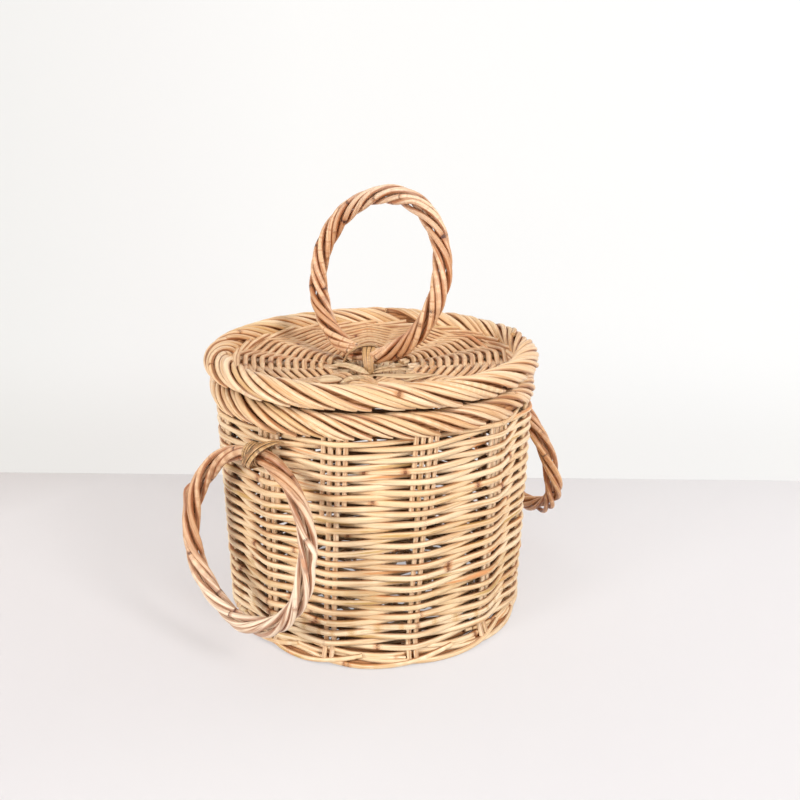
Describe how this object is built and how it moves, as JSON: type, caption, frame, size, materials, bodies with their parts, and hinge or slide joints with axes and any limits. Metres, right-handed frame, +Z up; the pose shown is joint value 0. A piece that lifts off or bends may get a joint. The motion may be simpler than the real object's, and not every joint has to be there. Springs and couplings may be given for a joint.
{
  "type": "lidded rattan basket",
  "caption": "Round woven rattan basket with rolled borders, a lift-off woven lid and laid-cane ring handles that swing in their bindings.",
  "frame": {"origin": "middle of the flat underside of the base hub, on the floor", "axes": "+Z up along the axis of the basket; -X towards the left ring handle, so the hinges of the lid ring and the left ring lie nearly along Y"},
  "size_m": [0.2935, 0.2198, 0.2823],
  "materials": {
    "weaving_cane": "natural round cane, satin",
    "stake_cane": "natural round cane, satin",
    "border_cane": "natural round cane, satin",
    "split_cane": "peeled flat cane, matte",
    "handle_cane": "unpeeled round cane, satin",
    "binding_cane": "split cane, satin"
  },
  "bodies": {
    "basket": {"base_hub": "split_cane", "base_weaver": "weaving_cane", "body_border": "border_cane", "foot_ring": "weaving_cane", "left_handle_binding": "binding_cane", "right_handle_binding": "binding_cane", "side_weaver_0": "weaving_cane", "side_weaver_1": "weaving_cane", "side_weaver_2": "weaving_cane", "side_weaver_3": "weaving_cane", "side_weaver_4": "weaving_cane", "side_weaver_5": "weaving_cane", "stake_0": "stake_cane", "stake_1": "stake_cane", "stake_10": "stake_cane", "stake_11": "stake_cane", "stake_12": "stake_cane", "stake_2": "stake_cane", "stake_3": "stake_cane", "stake_4": "stake_cane", "stake_5": "stake_cane", "stake_6": "stake_cane", "stake_7": "stake_cane", "stake_8": "stake_cane", "stake_9": "stake_cane"},
    "lid": {"lid_border": "border_cane", "lid_handle_strap": "binding_cane", "lid_hub": "split_cane", "lid_spoke_0": "stake_cane", "lid_spoke_1": "stake_cane", "lid_spoke_10": "stake_cane", "lid_spoke_11": "stake_cane", "lid_spoke_12": "stake_cane", "lid_spoke_2": "stake_cane", "lid_spoke_3": "stake_cane", "lid_spoke_4": "stake_cane", "lid_spoke_5": "stake_cane", "lid_spoke_6": "stake_cane", "lid_spoke_7": "stake_cane", "lid_spoke_8": "stake_cane", "lid_spoke_9": "stake_cane", "lid_weaver": "weaving_cane"},
    "lid_handle": {"lid_handle_ring": "handle_cane"},
    "left_handle": {"left_handle_ring": "handle_cane"},
    "right_handle": {"right_handle_ring": "handle_cane"}
  },
  "joints": [
    {"name": "lid_lift", "type": "slide", "parent": "basket", "child": "lid", "axis": [0, 0, 1], "range_m": [0, 0.12]},
    {"name": "lid_handle_swing", "type": "hinge", "parent": "lid", "child": "lid_handle", "pos_m": [-0.0046, 0.00442, 0.1735], "axis": [0.0471, 0.9989, 0], "range_deg": [-82, 54]},
    {"name": "left_handle_swing", "type": "hinge", "parent": "basket", "child": "left_handle", "pos_m": [-0.11292, 0, 0.13721], "axis": [0, 1, 0], "range_deg": [-9.5, 140]},
    {"name": "right_handle_swing", "type": "hinge", "parent": "basket", "child": "right_handle", "pos_m": [0.11052, -0.02724, 0.13183], "axis": [-0.4043, -0.9146, 0], "range_deg": [-5, 140]}
  ]
}
